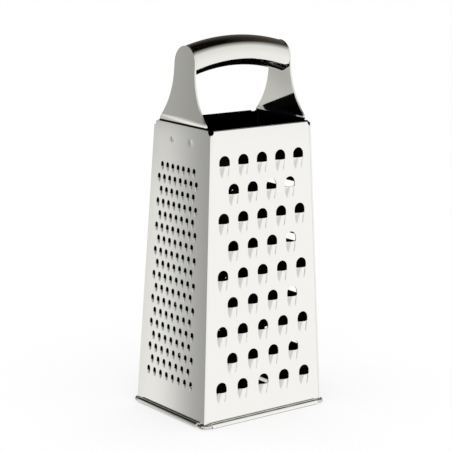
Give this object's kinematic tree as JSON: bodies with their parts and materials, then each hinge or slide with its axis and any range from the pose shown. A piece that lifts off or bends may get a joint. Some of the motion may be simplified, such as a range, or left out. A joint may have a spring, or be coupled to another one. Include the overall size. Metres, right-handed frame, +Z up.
{
  "type": "box grater",
  "caption": "Tapered four-sided box grater of pressed stainless sheet with coarse, fine, rasp and slicing faces, a wired rolled foot and an arched bar handle",
  "frame": {"origin": "on the surface it stands on, under the middle of the four feet", "axes": "+Z is up along the body to the handle, -Y is out of the coarse face, -X is out of the fine face, +X is out of the slicing face and the handle bar runs along X"},
  "size_m": [0.1012, 0.0786, 0.24],
  "materials": {
    "panel_steel": "bright annealed stainless steel sheet",
    "handle_steel": "mirror polished stainless steel",
    "wire_steel": "bright drawn stainless wire",
    "weld_steel": "dressed weld metal"
  },
  "bodies": {
    "root": {"coarse_panel": "panel_steel", "fine_panel": "panel_steel", "rasp_panel": "panel_steel", "slicer_panel": "panel_steel", "base_wire": "wire_steel", "corner_seam_welds": "weld_steel", "left_handle_plate": "handle_steel", "right_handle_plate": "handle_steel", "handle_grip": "handle_steel", "handle_spot_welds": "weld_steel"}
  },
  "joints": []
}
